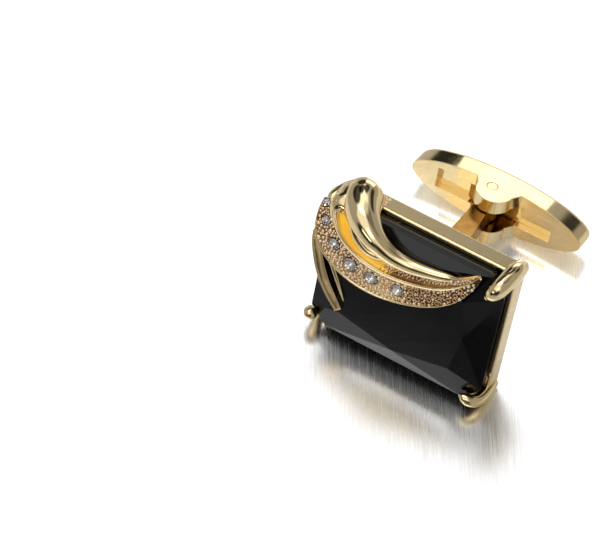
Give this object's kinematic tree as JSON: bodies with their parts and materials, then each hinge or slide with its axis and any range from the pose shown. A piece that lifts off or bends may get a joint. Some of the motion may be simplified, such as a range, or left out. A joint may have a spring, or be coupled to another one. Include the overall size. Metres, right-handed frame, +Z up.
{
  "type": "cufflink",
  "caption": "Gold cufflink: a clawed tray holds a faceted black stone under a jewelled crescent, and a post carries an oval toggle that folds on a hinge.",
  "frame": {"origin": "bottom centre of the box around the cufflink as it lies on a table, on its lower claws and its toggle", "axes": "+X along the head's long side to the right of a viewer who faces the stone, +Z up from the table, +Y from the stone towards the toggle"},
  "size_m": [0.0194, 0.0224, 0.0167],
  "materials": {
    "polished_gold": "polished gold plate; matt in the crescent's groove",
    "black_glass": "glossy, opaque black",
    "clear_glass": "clear, faceted",
    "spring_steel": "plain spring steel"
  },
  "bodies": {
    "head": {"setting_tray": "polished_gold", "claw_top_right": "polished_gold", "claw_bottom_right": "polished_gold", "claw_bottom_left": "polished_gold", "crescent_band": "polished_gold", "polished_horn": "polished_gold", "slim_horn": "polished_gold", "leaf": "polished_gold", "leaf_spike": "polished_gold", "post": "polished_gold", "black_stone": "black_glass", "rhinestone_1": "clear_glass", "rhinestone_2": "clear_glass", "rhinestone_3": "clear_glass", "rhinestone_4": "clear_glass", "rhinestone_5": "clear_glass", "rhinestone_6": "clear_glass"},
    "toggle": {"toggle_body": "polished_gold", "hinge_pin": "polished_gold", "toggle_spring": "spring_steel"}
  },
  "joints": [
    {"name": "toggle_hinge", "type": "hinge", "parent": "head", "child": "toggle", "pos_m": [-0.00025, 0.00763, 0.00319], "axis": [0, 0.2959, 0.9552], "range_deg": [-80, 80]}
  ]
}
